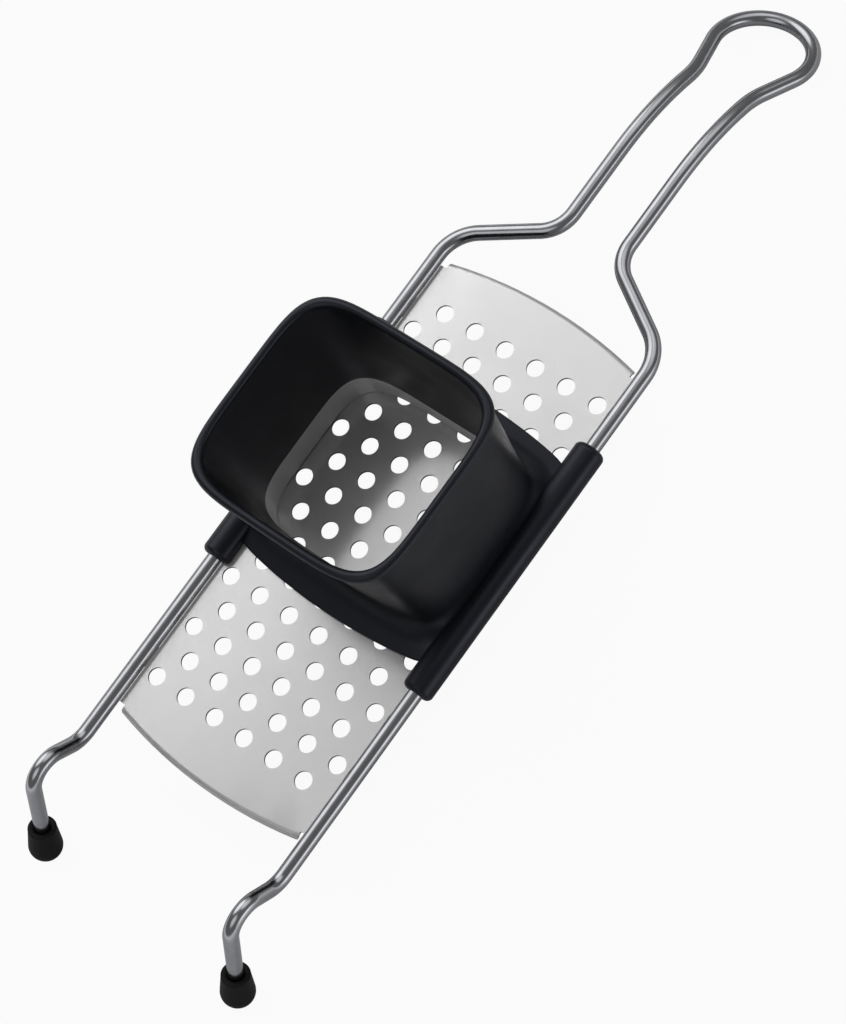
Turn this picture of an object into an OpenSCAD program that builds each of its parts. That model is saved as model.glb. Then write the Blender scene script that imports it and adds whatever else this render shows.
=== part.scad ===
// Spaetzle maker: a perforated sheet carried by one bent wire, with a dough
// hopper that slides along the two rails of the wire.
// X runs across the rails, Y along them towards the handle, and Z up from the
// table that the foot caps and the tip of the handle rest on.

/* [Wire frame] */
// Diameter of the bent wire
wire_d = 6; // [5:0.5:7]
// Distance between the centre lines of the two rails
rail_gap = 98; // [92:1:108]
// Straight rail left past the sheet's side edge at the feet
rail_past_feet = 15.5; // [10:0.5:30]
// Straight rail left past the sheet's side edge at the handle
rail_past_handle = 2.5; // [1:0.5:12]
// Height of the plate's top surface above the table
stand_h = 31.5; // [26:0.5:40]

/* [Hooks and legs] */
// Rise of each hook above its rail, where it grips a pot's rim
hook_rise = 12; // [9:0.5:16]
// Slope at which the wire climbs into the hook
hook_climb = 47; // [40:1:60]
// Bend radius at the foot of the hook
hook_foot_r = 11; // [9:0.5:13]
// Bend radius over the top of the hook
hook_top_r = 9.5; // [8:0.5:11]
// Lean of the legs away from the upright
leg_lean = 24; // [15:1:32]

/* [Handle] */
// Distance between the centre lines of the two handle arms
arm_gap = 26.4; // [22:0.2:34]
// Slope of the shoulders, measured from the line across the rails
shoulder_slope = 31.5; // [25:0.5:40]
// Bend radius from rail to shoulder
shoulder_r = 18; // [12:0.5:24]
// Bend radius from shoulder to arm
neck_r = 14.5; // [10:0.5:20]
// Straight length of the level arms
arm_len = 30; // [15:1:60]
// Radius of the droop from the level arms to the grip
droop_r = 95; // [60:1:120]
// Radius of the head of the loop
loop_r = 19.7; // [18:0.1:24]
// Radius of the flare where the arms open into the loop
flare_r = 35; // [15:1:45]
// Angle by which the arms open into the loop
flare_turn = 17; // [14:1:22]
// Downward slope of the grip
droop_turn = 25; // [15:1:28]

/* [Perforated sheet] */
// Thickness of the sheet
sheet_t = 1; // [0.8:0.1:1.2]
// Length of the side edges that are welded to the rails
side_len = 203; // [200:1:230]
// Gap from the side edges to the rails, which the weld beads fill
edge_gap = 0.1; // [0.05:0.05:0.3]
// How far each curved end reaches past the side edges, at its middle
end_reach = 7.9; // [6.5:0.1:12]
// Radius of the curved ends, seen from above
end_arc_r = 195; // [170:5:400]
// Depth of the turned-down end flanges
end_flange_h = 4; // [3:0.1:5]
// Outside radius of the end bends
end_bend_r = 2.2; // [1.6:0.1:2.6]
// Gap of the corner notches beside the side edges
notch = 2.4; // [1.8:0.1:3]
// Rounding of the free corners of the end flanges
flange_corner_r = 2.6; // [1:0.1:2.8]
// Diameter of the holes
hole_d = 7; // [5:0.1:8]
// Hole spacing across the sheet
hole_pitch = 14.5; // [13:0.1:14.6]
// Spacing of the hole rows along the sheet
row_pitch = 11.5; // [10:0.1:12]
// Holes in each row
hole_cols = 6; // [3:1:6]
// Number of hole rows
hole_rows = 16; // [6:1:16]
// Height of the rails' centre lines above the sheet's top surface
rail_rise = 1.5; // [0.8:0.1:2]
// Length of each weld bead under the side edges
bead_len = 9; // [5:0.5:14]
// Radius of each weld bead
bead_r = 1.1; // [0.9:0.1:1.2]
// Distance from the ends of the side edges to the middle of the outer beads
bead_inset = 20; // [10:1:40]

/* [Hopper] */
// Place of the hopper's middle along the sheet, from the sheet's middle
hopper_y = 16.6; // [-20:0.1:17]
// Height of the rim above the sheet's top surface
hopper_h = 73; // [60:0.5:90]
// Width of the rim across the rails
rim_w = 93; // [92:0.2:98]
// Length of the rim along the rails
rim_l = 85.8; // [82:0.2:94]
// Width of the rim's bead, inside to outside
rim_roll = 3.7; // [3.2:0.1:5]
// Height of the rim's bead
rim_roll_h = 3.8; // [3:0.1:6]
// How far the rim's middle is set back from the skirt's, towards the feet
rim_set_back = 1.2; // [0:0.1:3]
// Wall thickness of the hopper
hopper_wall = 2.6; // [2:0.1:3]
// Length of the throat along the rails
throat_l = 68; // [60:0.5:72]
// Height at which the sloping walls meet the upright throat
throat_h = 15; // [10:0.5:20]
// Thickness of the throat's upright side walls
throat_wall = 1.3; // [1:0.1:1.5]
// Squareness of the hopper's outline, where 2 is an ellipse
squareness = 5; // [4:0.5:7]
// Length of the base skirt along the rails, at its middle
skirt_l = 97; // [90:0.5:102]
// Bulge of the skirt's front and rear edges
skirt_bulge = 4.9; // [2:0.1:6]
// Thickness of the skirt
skirt_t = 2.3; // [1.8:0.1:2.8]
// Height of the hollow flare from the skirt into the walls
flare_h = 13; // [9:0.5:14]
// Outside diameter of the two channels that run on the rails
channel_d = 12; // [11:0.1:13]
// Length of the channels
channel_l = 109.5; // [98:0.5:112]
// Rounding of the channels' ends
channel_end_r = 2.4; // [1:0.1:2.6]

/* [Foot caps] */
// Diameter of the rounded foot
cap_d = 13.2; // [12:0.1:15]
// Diameter of the cap's open end
cap_mouth_d = 11; // [10:0.1:12]
// Distance from the open end to the middle of the rounded foot
cap_len = 11.3; // [9:0.1:14]
// Depth of the blind bore that takes the leg
cap_bore_depth = 10.4; // [8:0.1:12]
// Rounding of the cap's open end
cap_edge = 0.8; // [0.4:0.1:1.2]
// Depth of the flat worn into the sole
sole_flat = 0.3; // [0.2:0.05:0.6]

/* [Clearances] */
// Radial running clearance of the channels on the rails
run_fit = 0.25; // [0.15:0.05:0.4]
// Gap between the hopper's underside and the sheet
sheet_gap = 0.3; // [0.2:0.05:0.6]
// Radial clearance of a leg in its cap
cap_fit = 0.05; // [0.03:0.01:0.1]

/* [Hidden] */

$fn = 64;
eps = 0.01;
far = 400;
wire_r = wire_d / 2;
wire_sides = 16;
bend_step = 7.5;

// Rails, measured from the middle of the sheet's top surface
rail_x = rail_gap / 2;
rail_front = -(side_len / 2 + rail_past_feet);
rail_back = side_len / 2 + rail_past_handle;

// Hooks: the climb between the two bends makes up the hook's rise
hook_run = (hook_rise - (hook_foot_r + hook_top_r) * (1 - cos(hook_climb)))
           / sin(hook_climb);
hook_over = hook_climb + 90 - leg_lean;
leg_y = rail_front - hook_foot_r * sin(hook_climb) - hook_run * cos(hook_climb)
        - hook_top_r * (sin(hook_climb) + cos(leg_lean));
leg_z = rail_rise + hook_rise - hook_top_r * (1 - sin(leg_lean));

// Caps: the middle of each foot stands its own radius above the table
cap_r = cap_d / 2;
foot_z = cap_r - sole_flat - stand_h;
foot_run = (leg_z - foot_z) / cos(leg_lean);
foot_y = leg_y - foot_run * sin(leg_lean);
leg_len = foot_run - (cap_len - cap_bore_depth);

// Handle: each side is a chain of straights and bends, like a wire former's
arm_x = arm_gap / 2;
shoulder_turn = 90 - shoulder_slope;
shoulder_run = (rail_x - arm_x - (shoulder_r + neck_r) * (1 - cos(shoulder_turn)))
               / sin(shoulder_turn);
droop_y = rail_back + (shoulder_r + neck_r) * sin(shoulder_turn)
          + shoulder_run * cos(shoulder_turn) + arm_len;
flare_run = (loop_r * cos(flare_turn) - arm_x - flare_r * (1 - cos(flare_turn)))
            / sin(flare_turn);
loop_u = flare_r * sin(flare_turn) + flare_run * cos(flare_turn)
         + loop_r * (1 + sin(flare_turn));
// The grip starts low enough for the loop's tip to rest on the table
tip_z = wire_r - stand_h;
droop_z = rail_rise - droop_r * (1 - cos(droop_turn));
grip_run = (droop_z - tip_z) / sin(droop_turn) - loop_u;
tip_y = droop_y + droop_r * sin(droop_turn) + (grip_run + loop_u) * cos(droop_turn);

// The frame's middle lies half-way between the feet and the handle's tip
mid_y = (tip_y + wire_r + foot_y - cap_r) / 2;

// Sheet
sheet_x = rail_x - wire_r;
edge_x = rail_x - sqrt(pow(wire_r, 2) - pow(rail_rise, 2)) - edge_gap;
end_bend_in = end_bend_r - sheet_t;
end_x = sheet_x - notch;
end_y = side_len / 2 + end_reach;
flat_arc_r = end_arc_r - end_bend_r;
bead_y = side_len / 2 - bead_inset;
end_span = 60;

// Hopper
bore_r = wire_r + run_fit;
channel_r = channel_d / 2;
throat_x = sheet_x - sheet_t - sheet_gap - throat_wall;
throat_y = throat_l / 2;
skirt_y = skirt_l / 2;
skirt_top = sheet_gap + skirt_t;
wall_x = throat_x + hopper_wall;
wall_y = throat_y + hopper_wall;
rim_x = rim_w / 2;
rim_y = rim_l / 2;
lip_x = rim_x - rim_roll;
lip_y = rim_y - rim_roll;
rim_mid_z = hopper_h - rim_roll_h / 2;
knee_z = throat_h + hopper_wall;
rim_crest = 1;
flare_steps = 6;
hopper_sides = 48;

// Moves a sub-part from the sheet's frame to the table's
module on_table() {
    translate([0, -mid_y, stand_h]) children();
}

// A copy on each side of the middle plane
module both_sides() {
    children();
    mirror([1, 0, 0]) children();
}

// Places of the wire's cross-section, as 4 by 4 matrices
function moved(x, y, z) = [[1, 0, 0, x], [0, 1, 0, y], [0, 0, 1, z], [0, 0, 0, 1]];
function about_x(a) =
    [[1, 0, 0, 0], [0, cos(a), -sin(a), 0], [0, sin(a), cos(a), 0], [0, 0, 0, 1]];
function about_y(a) =
    [[cos(a), 0, sin(a), 0], [0, 1, 0, 0], [-sin(a), 0, cos(a), 0], [0, 0, 0, 1]];
function about_z(a) =
    [[cos(a), -sin(a), 0, 0], [sin(a), cos(a), 0, 0], [0, 0, 1, 0], [0, 0, 0, 1]];
function bent(turn_r, turn) =
    moved(turn_r, 0, 0) * about_y(turn) * moved(-turn_r, 0, 0);

// The section's outline at one place, turned back by the rolls so far, so that
// the wire isn't twisted
function section(place, rolled) = [
    for (k = [0 : wire_sides - 1])
        let (
            a = 360 * k / wire_sides - rolled,
            p = place * [wire_r * cos(a), wire_r * sin(a), 0, 1]
        )
            [p[0], p[1], p[2]]
];

// Sections along a chain of straights and bends, as a wire former sets it up:
// each step is [straight, bend radius, turn, roll of the bend's plane]
function wire_sections(steps, place, rolled = 0, i = 0) =
    i == len(steps) ? [] :
    let (
        turn = steps[i][2],
        start = place * moved(0, 0, steps[i][0]) * about_z(steps[i][3]),
        now = rolled + steps[i][3],
        parts = ceil(turn / bend_step),
        along = [
            for (j = [1 : 1 : parts])
                section(start * bent(steps[i][1], turn * j / parts), now)
        ]
    )
        concat(
            steps[i][0] > 0 ? [section(start, now)] : [],
            along,
            wire_sections(steps, start * bent(steps[i][1], turn), now, i + 1)
        );

// A closed tube through a list of sections
module tube(sections) {
    last = len(sections) - 1;
    points = [for (s = sections) each s];
    sides = [
        for (i = [0 : last - 1])
            for (k = [0 : wire_sides - 1])
                let (next = (k + 1) % wire_sides, low = i * wire_sides, top = low + wire_sides)
                    each [
                        [low + next, low + k, top + k],
                        [low + next, top + k, top + next]
                    ]
    ];
    start = [[for (k = [0 : wire_sides - 1]) k]];
    end = [[for (k = [wire_sides - 1 : -1 : 0]) last * wire_sides + k]];
    polyhedron(points, concat(sides, start, end), convexity = 6);
}

// Half of the wire, from the right foot over the hook and along the rail to the
// tip of the loop
foot_end = moved(rail_x, leg_y - leg_len * sin(leg_lean), leg_z - leg_len * cos(leg_lean))
           * about_x(-leg_lean);
half_wire = concat(
    [section(foot_end, 0)],
    wire_sections([
        [leg_len, hook_top_r, hook_over, 90],
        [hook_run, hook_foot_r, hook_climb, 180],
        [rail_back - rail_front, shoulder_r, shoulder_turn, -90],
        [shoulder_run, neck_r, shoulder_turn, 180],
        [arm_len, droop_r, droop_turn, 90],
        [grip_run, flare_r, flare_turn, -90],
        [flare_run, loop_r, 90 + flare_turn, 180]
    ], foot_end)
);
mirrored_half = [
    for (i = [len(half_wire) - 2 : -1 : 0])
        [for (p = half_wire[i]) [-p[0], p[1], p[2]]]
];

module wire_frame() {
    color("#b9bbbe")
        on_table()
            tube(concat(half_wire, mirrored_half));
}

// Outline of the flat sheet between the end bends
module flat_outline() {
    square([2 * edge_x, side_len], center = true);
    intersection() {
        square([2 * end_x, 2 * end_y], center = true);
        translate([0, end_y - end_arc_r]) circle(r = flat_arc_r, $fn = 360);
        translate([0, end_arc_r - end_y]) circle(r = flat_arc_r, $fn = 360);
    }
}

// Staggered rows of holes
module hole_pattern() {
    for (row = [0 : hole_rows - 1]) {
        stagger = (row % 2 == 0 ? 1 : -1) * hole_pitch / 4;
        for (col = [0 : hole_cols - 1])
            translate([
                (col - (hole_cols - 1) / 2) * hole_pitch + stagger,
                ((hole_rows - 1) / 2 - row) * row_pitch,
                -sheet_t - eps
            ])
                cylinder(h = sheet_t + 2 * eps, d = hole_d, $fn = 48);
    }
}

// Curved flange at the handle end, turned down, with its corners rounded
module end_flange() {
    intersection() {
        translate([0, end_y - end_arc_r, -end_bend_r])
            rotate([0, 0, 90 - end_span / 2])
                rotate_extrude(angle = end_span, $fn = 360)
                    translate([flat_arc_r, 0]) {
                        intersection() {
                            difference() {
                                circle(r = end_bend_r);
                                circle(r = end_bend_in);
                            }
                            square(end_bend_r);
                        }
                        translate([end_bend_in, end_bend_r - end_flange_h])
                            square([sheet_t, end_flange_h - end_bend_r]);
                    }
        translate([0, end_y, 0])
            rotate([90, 0, 0])
                linear_extrude(end_y)
                    rounded_tab();
    }
}

// Face of the end flange: square at the bend, rounded at its free corners
module rounded_tab() {
    translate([-end_x, flange_corner_r - end_flange_h])
        square([2 * end_x, end_flange_h - flange_corner_r]);
    translate([flange_corner_r - end_x, -end_flange_h])
        square([2 * (end_x - flange_corner_r), end_flange_h]);
    for (side = [-1, 1])
        translate([side * (end_x - flange_corner_r), flange_corner_r - end_flange_h])
            circle(r = flange_corner_r);
}

module perforated_plate() {
    color("#d4d4d6")
        on_table() {
            difference() {
                translate([0, 0, -sheet_t])
                    linear_extrude(sheet_t)
                        flat_outline();
                hole_pattern();
            }
            end_flange();
            mirror([0, 1, 0]) end_flange();
        }
}

// Weld beads in the notch under each rail and the sheet's edge beside it
module weld_beads() {
    color("#8f9092")
        on_table()
            both_sides()
                for (y = [-bead_y, 0, bead_y])
                    difference() {
                        translate([edge_x, y - bead_len / 2, -sheet_t])
                            rotate([-90, 0, 0])
                                cylinder(h = bead_len, r = bead_r);
                        translate([rail_x, y - bead_len, rail_rise])
                            rotate([-90, 0, 0])
                                cylinder(h = 2 * bead_len, r = wire_r);
                        translate([0, y - bead_len, -sheet_t])
                            cube([edge_x, 2 * bead_len, 2 * sheet_t]);
                        translate([0, y - bead_len, 0])
                            cube([rail_x, 2 * bead_len, 2 * bead_r]);
                    }
}

// Point of a superellipse with half axes hx and hy, at angle a
function signed_pow(v, p) = sign(v) * pow(abs(v), p);
function set_back(z) = rim_set_back * max(0, (z - knee_z) / (hopper_h - knee_z));
function oval(hx, hy, z, a) = [
    hx * signed_pow(cos(a), 2 / squareness),
    hopper_y - set_back(z) + hy * signed_pow(sin(a), 2 / squareness),
    z
];

// A solid through stacked sections, each [z, half width, half length]
module loft(sections) {
    rings = len(sections);
    points = [
        for (s = sections)
            for (k = [0 : hopper_sides - 1])
                oval(s[1], s[2], s[0], 360 * k / hopper_sides)
    ];
    sides = [
        for (ring = [0 : rings - 2])
            for (k = [0 : hopper_sides - 1])
                let (
                    next = (k + 1) % hopper_sides,
                    low = ring * hopper_sides,
                    top = low + hopper_sides
                )
                    [low + next, low + k, top + k, top + next]
    ];
    bottom = [[for (k = [0 : hopper_sides - 1]) k]];
    lid = [[for (k = [hopper_sides - 1 : -1 : 0]) (rings - 1) * hopper_sides + k]];
    polyhedron(points, concat(sides, bottom, lid), convexity = 4);
}

// Section of the rim's bead, at angle a round the bead from its outermost point
function rim_section(a, z = undef) = [
    is_undef(z) ? rim_mid_z + rim_roll_h / 2 * sin(a) : z,
    rim_x - rim_roll / 2 * (1 - cos(a)),
    rim_y - rim_roll / 2 * (1 - cos(a))
];
crest_a = acos(rim_crest / rim_roll);

// Outer sections: a hollow flare out of the skirt, the wall and the rim's bead
function flare_out(t) = (skirt_y - skirt_bulge - wall_y) * (1 - sqrt(1 - pow(1 - t, 2)));
outer_sections = concat(
    [[sheet_gap, wall_x, wall_y + flare_out(0)]],
    [
        for (i = [0 : flare_steps])
            let (t = i / flare_steps)
                [skirt_top + (flare_h - skirt_top) * t, wall_x, wall_y + flare_out(t)]
    ],
    [
        [knee_z, wall_x, wall_y],
        [hopper_h - rim_roll_h, lip_x + hopper_wall, lip_y + hopper_wall]
    ],
    [for (a = [-60 : 30 : 60]) rim_section(a)],
    [rim_section(crest_a, hopper_h)]
);

// Inner sections: the upright throat, the sloping walls and the bead's inner half
inner_sections = concat(
    [
        [-eps, throat_x, throat_y],
        [throat_h, throat_x, throat_y]
    ],
    [for (a = [180 : -30 : 120]) rim_section(a)],
    [rim_section(180 - crest_a, hopper_h + eps)]
);

// Base skirt between the channels, with bulging front and rear edges
module skirt() {
    skirt_arc_r = (pow(rail_x, 2) + pow(skirt_bulge, 2)) / (2 * skirt_bulge);
    translate([0, hopper_y, sheet_gap])
        linear_extrude(skirt_t)
            intersection() {
                square([2 * rail_x, skirt_l], center = true);
                translate([0, skirt_y - skirt_arc_r]) circle(r = skirt_arc_r, $fn = 360);
                translate([0, skirt_arc_r - skirt_y]) circle(r = skirt_arc_r, $fn = 360);
            }
}

// Channel on the right rail: a tube with rounded ends
module channel() {
    translate([rail_x, hopper_y - channel_l / 2, rail_rise])
        rotate([-90, 0, 0])
            rotate_extrude()
                difference() {
                    union() {
                        translate([0, channel_end_r])
                            square([channel_r, channel_l - 2 * channel_end_r]);
                        square([channel_r - channel_end_r, channel_l]);
                        for (v = [channel_end_r, channel_l - channel_end_r])
                            translate([channel_r - channel_end_r, v])
                                circle(r = channel_end_r);
                    }
                    translate([-2 * channel_r, -eps])
                        square([2 * channel_r, channel_l + 2 * eps]);
                }
}

// Room under the right channel for the rail and the sheet
module channel_room() {
    translate([rail_x, hopper_y - channel_l, rail_rise])
        rotate([-90, 0, 0])
            cylinder(h = 2 * channel_l, r = bore_r);
    translate([0, hopper_y - channel_l, -far])
        cube([rail_x, 2 * channel_l, far + sheet_gap]);
}

module hopper() {
    color("#2b2c2e")
        on_table()
            difference() {
                union() {
                    skirt();
                    loft(outer_sections);
                    both_sides() channel();
                }
                loft(inner_sections);
                both_sides() channel_room();
            }
}

// Cap on the right leg, with its open end on the leg's axis
module foot_cap() {
    mouth_r = cap_mouth_d / 2;
    difference() {
        translate([rail_x, leg_y, leg_z])
            rotate([90 + 90 - leg_lean, 0, 0])
                translate([0, 0, foot_run])
                    difference() {
                        union() {
                            translate([0, 0, -cap_len + cap_edge])
                                cylinder(h = cap_len - cap_edge, r1 = mouth_r, r2 = cap_r);
                            translate([0, 0, -cap_len])
                                cylinder(h = cap_edge, r1 = mouth_r - cap_edge, r2 = mouth_r);
                            sphere(r = cap_r);
                        }
                        translate([0, 0, -cap_len - eps])
                            cylinder(h = cap_bore_depth + eps, r = wire_r + cap_fit);
                        translate([0, 0, -cap_len - eps])
                            cylinder(h = 2 * cap_edge, r1 = wire_r + cap_edge, r2 = wire_r);
                    }
        translate([-far, -far, -far - stand_h]) cube([2 * far, 2 * far, far]);
    }
}

module left_foot_cap() {
    color("#1b1b1c")
        on_table()
            mirror([1, 0, 0]) foot_cap();
}

module right_foot_cap() {
    color("#1b1b1c")
        on_table()
            foot_cap();
}

wire_frame();
perforated_plate();
weld_beads();
hopper();
left_foot_cap();
right_foot_cap();
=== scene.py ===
"""Spaetzle maker: the looks of a perforated sheet in a bent-wire frame, with a sliding hopper.

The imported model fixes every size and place. This script adds the finishes, and models
the wire, the sheet's smooth bends, the hopper and the rubber caps as finished meshes.
"""
import logging
import math
from dataclasses import dataclass, field
from enum import Enum

import bmesh
import bpy
from mathutils import Matrix, Quaternion, Vector


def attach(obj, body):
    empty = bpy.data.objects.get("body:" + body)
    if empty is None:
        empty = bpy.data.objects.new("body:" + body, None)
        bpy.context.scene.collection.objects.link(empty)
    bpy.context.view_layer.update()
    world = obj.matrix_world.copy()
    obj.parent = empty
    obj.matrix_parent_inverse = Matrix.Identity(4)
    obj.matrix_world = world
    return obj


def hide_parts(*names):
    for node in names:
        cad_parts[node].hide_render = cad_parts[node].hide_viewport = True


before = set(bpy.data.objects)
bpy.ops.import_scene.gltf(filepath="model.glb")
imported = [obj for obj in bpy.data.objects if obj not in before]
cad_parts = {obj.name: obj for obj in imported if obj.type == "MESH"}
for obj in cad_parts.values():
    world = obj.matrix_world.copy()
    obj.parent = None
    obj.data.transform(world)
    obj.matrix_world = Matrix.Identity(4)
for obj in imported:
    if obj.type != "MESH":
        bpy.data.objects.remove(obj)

logging.basicConfig(level=logging.INFO, format="%(levelname)s %(message)s")
LOG = logging.getLogger("spaetzle_maker")

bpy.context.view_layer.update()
MM = 0.001
IMAGE_WIDTH = 846


class Side(Enum):
    """The two sides of the mirror plane between the rails."""

    LEFT = -1
    RIGHT = 1


class Body(Enum):
    """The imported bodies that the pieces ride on."""

    FRAME = "frame"
    HOPPER = "hopper"


# ---- colours and nodes


def linear(hex_colour: str) -> tuple[float, float, float, float]:
    """Turns an sRGB hex colour into linear values.

    Args:
        hex_colour: The colour as "#rrggbb".

    Returns:
        Linear red, green and blue, with an alpha of 1.
    """
    channels = (int(hex_colour[i:i + 2], 16) / 255 for i in (1, 3, 5))
    red, green, blue = (
        c / 12.92 if c <= 0.04045 else ((c + 0.055) / 1.055) ** 2.4 for c in channels
    )
    return red, green, blue, 1.0


def add(tree: bpy.types.NodeTree, kind: str, inputs: dict[str | int, object] | None = None,
        **settings: object) -> bpy.types.Node:
    """Adds one node with its settings and links.

    Args:
        tree: The node tree that takes the node.
        kind: The node's type name.
        inputs: Values or sockets by input name or number.
        **settings: The node's own properties.

    Returns:
        The new node.
    """
    node = tree.nodes.new(kind)
    for name, value in settings.items():
        setattr(node, name, value)
    for key, value in (inputs or {}).items():
        if isinstance(value, bpy.types.NodeSocket):
            tree.links.new(value, node.inputs[key])
        else:
            node.inputs[key].default_value = value
    return node


def new_material(name: str) -> tuple[bpy.types.Material, bpy.types.NodeTree]:
    """Makes an empty node material.

    Args:
        name: The material's name.

    Returns:
        The material and its cleared node tree.
    """
    material = bpy.data.materials.new(name)
    material.use_nodes = True
    material.node_tree.nodes.clear()
    return material, material.node_tree


# ---- finishes


@dataclass(frozen=True)
class PolishedWire:
    """Drawn 18/8 stainless wire, electropolished: sharp stripes of reflection with the
    faintest lengthwise die lines and a slight orange peel that makes the stripes waver."""

    colour: str = "#a9aaad"
    dull_colour: str = "#9c9da1"
    dull_share: float = 0.6
    roughness: float = 0.18
    smoother: float = 0.9
    rougher: float = 1.15
    # A real wire's die lines are much finer; these are drawn coarse enough to show.
    die_line_mm: float = 0.35
    die_line_length_mm: float = 60.0
    die_line_depth_mm: float = 0.002
    die_line_strength: float = 0.05
    peel_mm: float = 5.0
    peel_depth_mm: float = 0.004

    def build(self) -> bpy.types.Material:
        """Builds the material on the wire's own around-and-along attribute.

        Returns:
            The wire's material.
        """
        material, tree = new_material("electropolished_stainless_wire")
        place = add(tree, "ShaderNodeAttribute", attribute_name="wire_place").outputs["Vector"]
        in_mm = add(tree, "ShaderNodeVectorMath", {0: place, "Scale": 1 / MM}, operation="SCALE")
        lines = add(tree, "ShaderNodeMapping", {
            "Vector": in_mm.outputs[0],
            "Scale": (1 / self.die_line_mm, 1 / self.die_line_mm, 1 / self.die_line_length_mm),
        })
        streak = add(tree, "ShaderNodeTexNoise",
                     {"Vector": lines.outputs[0], "Scale": 1.0, "Detail": 4.0})
        peel = add(tree, "ShaderNodeTexNoise",
                   {"Vector": in_mm.outputs[0], "Scale": 1 / self.peel_mm, "Detail": 2.0})
        dull = add(tree, "ShaderNodeMapRange", {
            "Value": peel.outputs["Fac"], "From Min": 0.3, "From Max": 0.75,
            "To Min": 0.0, "To Max": self.dull_share,
        }, interpolation_type="SMOOTHSTEP")
        colour = add(tree, "ShaderNodeMix", {
            "Factor": dull.outputs["Result"],
            "A": linear(self.colour), "B": linear(self.dull_colour),
        }, data_type="RGBA")
        bump = add(tree, "ShaderNodeBump", {
            "Height": peel.outputs["Fac"], "Strength": 1.0, "Distance": self.peel_depth_mm * MM,
        })
        fine = add(tree, "ShaderNodeBump", {
            "Height": streak.outputs["Fac"], "Strength": self.die_line_strength,
            "Distance": self.die_line_depth_mm * MM, "Normal": bump.outputs[0],
        })
        gloss = add(tree, "ShaderNodeMapRange", {
            "Value": streak.outputs["Fac"], "From Min": 0.3, "From Max": 0.7,
            "To Min": self.roughness * self.smoother, "To Max": self.roughness * self.rougher,
        }, interpolation_type="SMOOTHSTEP")
        shader = add(tree, "ShaderNodeBsdfPrincipled", {
            "Base Color": colour.outputs["Result"], "Metallic": 1.0,
            "Roughness": gloss.outputs["Result"], "Normal": fine.outputs[0],
        })
        add(tree, "ShaderNodeOutputMaterial", {"Surface": shader.outputs[0]})
        return material


@dataclass(frozen=True)
class SatinSheet:
    """Cold-rolled 2B stainless sheet, tumbled after punching: a clear but hazy reflection,
    because microscopic matte pits lie among smooth ground, and faint wipe marks from use."""

    colour: str = "#d6d5d5"
    smudge_colour: str = "#d1d0d1"
    smudge_share: float = 0.6
    smudge_mm: float = 45.0
    smudge_roughness: float = 0.02
    # Under 1, so that the sheet scatters some light: matched to the photograph, not measured.
    bare_metal: float = 0.86
    smooth: float = 0.12
    pitted: float = 0.70
    # A real sheet's pits are finer. These are small enough to blend into haze in the render.
    pit_mm: float = 0.1
    # Real rolling grain is finer; this is drawn coarse enough to show.
    grain_mm: float = 0.5
    grain_length_mm: float = 14.0
    grain_depth_mm: float = 0.0015
    grain_strength: float = 0.1

    def build(self) -> bpy.types.Material:
        """Builds the material on object coordinates, with the rolling grain along Y.

        Returns:
            The sheet's material.
        """
        material, tree = new_material("rolled_satin_stainless")
        place = add(tree, "ShaderNodeTexCoord").outputs["Object"]
        in_mm = add(tree, "ShaderNodeVectorMath", {0: place, "Scale": 1 / MM}, operation="SCALE")
        along = add(tree, "ShaderNodeMapping", {
            "Vector": in_mm.outputs[0],
            "Scale": (1 / self.grain_mm, 1 / self.grain_length_mm, 1 / self.grain_mm),
        })
        grain = add(tree, "ShaderNodeTexNoise",
                    {"Vector": along.outputs[0], "Scale": 1.0, "Detail": 4.0, "Roughness": 0.5})
        pits = add(tree, "ShaderNodeTexNoise",
                   {"Vector": in_mm.outputs[0], "Scale": 1 / self.pit_mm, "Detail": 1.0})
        smudge = add(tree, "ShaderNodeTexNoise",
                     {"Vector": in_mm.outputs[0], "Scale": 1 / self.smudge_mm, "Detail": 3.0,
                      "Distortion": 0.6})
        wiped = add(tree, "ShaderNodeMapRange", {
            "Value": smudge.outputs["Fac"], "From Min": 0.35, "From Max": 0.75,
            "To Min": 0.0, "To Max": self.smudge_share,
        }, interpolation_type="SMOOTHSTEP")
        colour = add(tree, "ShaderNodeMix", {
            "Factor": wiped.outputs["Result"],
            "A": linear(self.colour), "B": linear(self.smudge_colour),
        }, data_type="RGBA")
        haze = add(tree, "ShaderNodeMapRange", {
            "Value": pits.outputs["Fac"], "From Min": 0.39, "From Max": 0.61,
            "To Min": self.smooth, "To Max": self.pitted,
        }, interpolation_type="SMOOTHSTEP")
        film = add(tree, "ShaderNodeMapRange", {
            "Value": smudge.outputs["Fac"], "From Min": 0.3, "From Max": 0.7,
            "To Min": 0.0, "To Max": self.smudge_roughness,
        }, interpolation_type="SMOOTHSTEP")
        worn = add(tree, "ShaderNodeMath",
                   {0: haze.outputs["Result"], 1: film.outputs["Result"]}, operation="ADD")
        bump = add(tree, "ShaderNodeBump", {
            "Height": grain.outputs["Fac"], "Strength": self.grain_strength,
            "Distance": self.grain_depth_mm * MM,
        })
        shader = add(tree, "ShaderNodeBsdfPrincipled", {
            "Base Color": colour.outputs["Result"], "Metallic": self.bare_metal,
            "Roughness": worn.outputs[0], "Normal": bump.outputs[0],
        })
        add(tree, "ShaderNodeOutputMaterial", {"Surface": shader.outputs[0]})
        return material


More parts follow.
